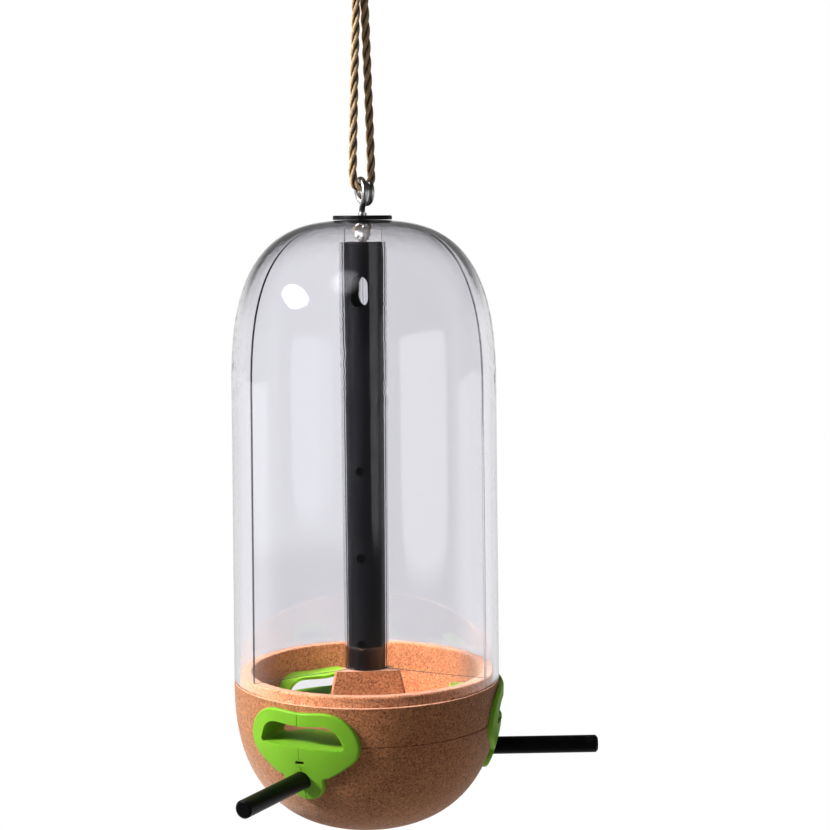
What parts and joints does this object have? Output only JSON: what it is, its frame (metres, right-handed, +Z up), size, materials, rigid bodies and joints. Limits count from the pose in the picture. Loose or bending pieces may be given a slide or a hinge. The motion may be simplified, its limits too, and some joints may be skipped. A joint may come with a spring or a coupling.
{
  "type": "hanging bird feeder",
  "caption": "Hanging bird feeder: clear domed seed chamber with finned divider around a black pole, over a cork base with green feeding ports and round perches, on an eye bolt and a rope.",
  "frame": {"origin": "where a hook bears, in the top of the rope loop, on the feeder's axis", "axes": "+Z up along the feeder's axis; the first feeding port and its perch face -Y"},
  "size_m": [0.1886, 0.1682, 0.4393],
  "materials": {
    "cork": "matt agglomerated cork granules",
    "clear_dome": "clear polycarbonate, glossy, very faint lilac-grey tint",
    "clear_divider": "clear glossy plastic",
    "green_port": "lime green, slightly translucent moulded plastic, satin gloss",
    "black_pole": "black extruded plastic, satin",
    "black_perch": "black stick, satin, bevelled end",
    "black_disc": "black plastic disc, satin",
    "zinc": "bright zinc-plated steel, slightly yellowed",
    "steel": "zinc-plated steel",
    "jute": "three-strand laid jute rope, hairy, straw to brown"
  },
  "bodies": {
    "hanger": {"hanging_rope": "jute", "rope_knot": "jute", "rope_loop": "jute"},
    "eye": {"eye_bolt": "zinc", "cap_disc": "black_disc", "nut_washer": "steel", "lock_nut": "steel"},
    "dome": {"dome_shell": "clear_dome", "divider": "clear_divider"},
    "base": {"cork_bowl": "cork", "cork_ring": "cork", "cork_hub": "cork", "pole_tube": "black_pole", "pole_cap": "black_pole", "pole_foot": "black_pole", "base_screw": "steel", "base_washer": "steel", "port_frame_1": "green_port", "port_frame_2": "green_port", "port_frame_3": "green_port"},
    "perch_1": {"perch_1": "black_perch"},
    "perch_2": {"perch_2": "black_perch"},
    "perch_3": {"perch_3": "black_perch"}
  },
  "joints": [
    {"name": "feeder_swing", "type": "hinge", "parent": "hanger", "child": "eye", "pos_m": [0, 0, -0.14285], "axis": [-0.5, -0.866, 0], "range_deg": [-30, 30]},
    {"name": "dome_swivel", "type": "hinge", "parent": "eye", "child": "dome", "pos_m": [0, 0, -0.1571], "axis": [0, 0, 1], "continuous": true},
    {"name": "base_drop", "type": "slide", "parent": "dome", "child": "base", "axis": [0, 0, -1], "range_m": [0, 0.22]},
    {"name": "perch_1_pull", "type": "slide", "parent": "base", "child": "perch_1", "axis": [0, -1, 0], "range_m": [0, 0.022]},
    {"name": "perch_2_pull", "type": "slide", "parent": "base", "child": "perch_2", "axis": [0.866, 0.5, 0], "range_m": [0, 0.022]},
    {"name": "perch_3_pull", "type": "slide", "parent": "base", "child": "perch_3", "axis": [-0.866, 0.5, 0], "range_m": [0, 0.022]}
  ]
}
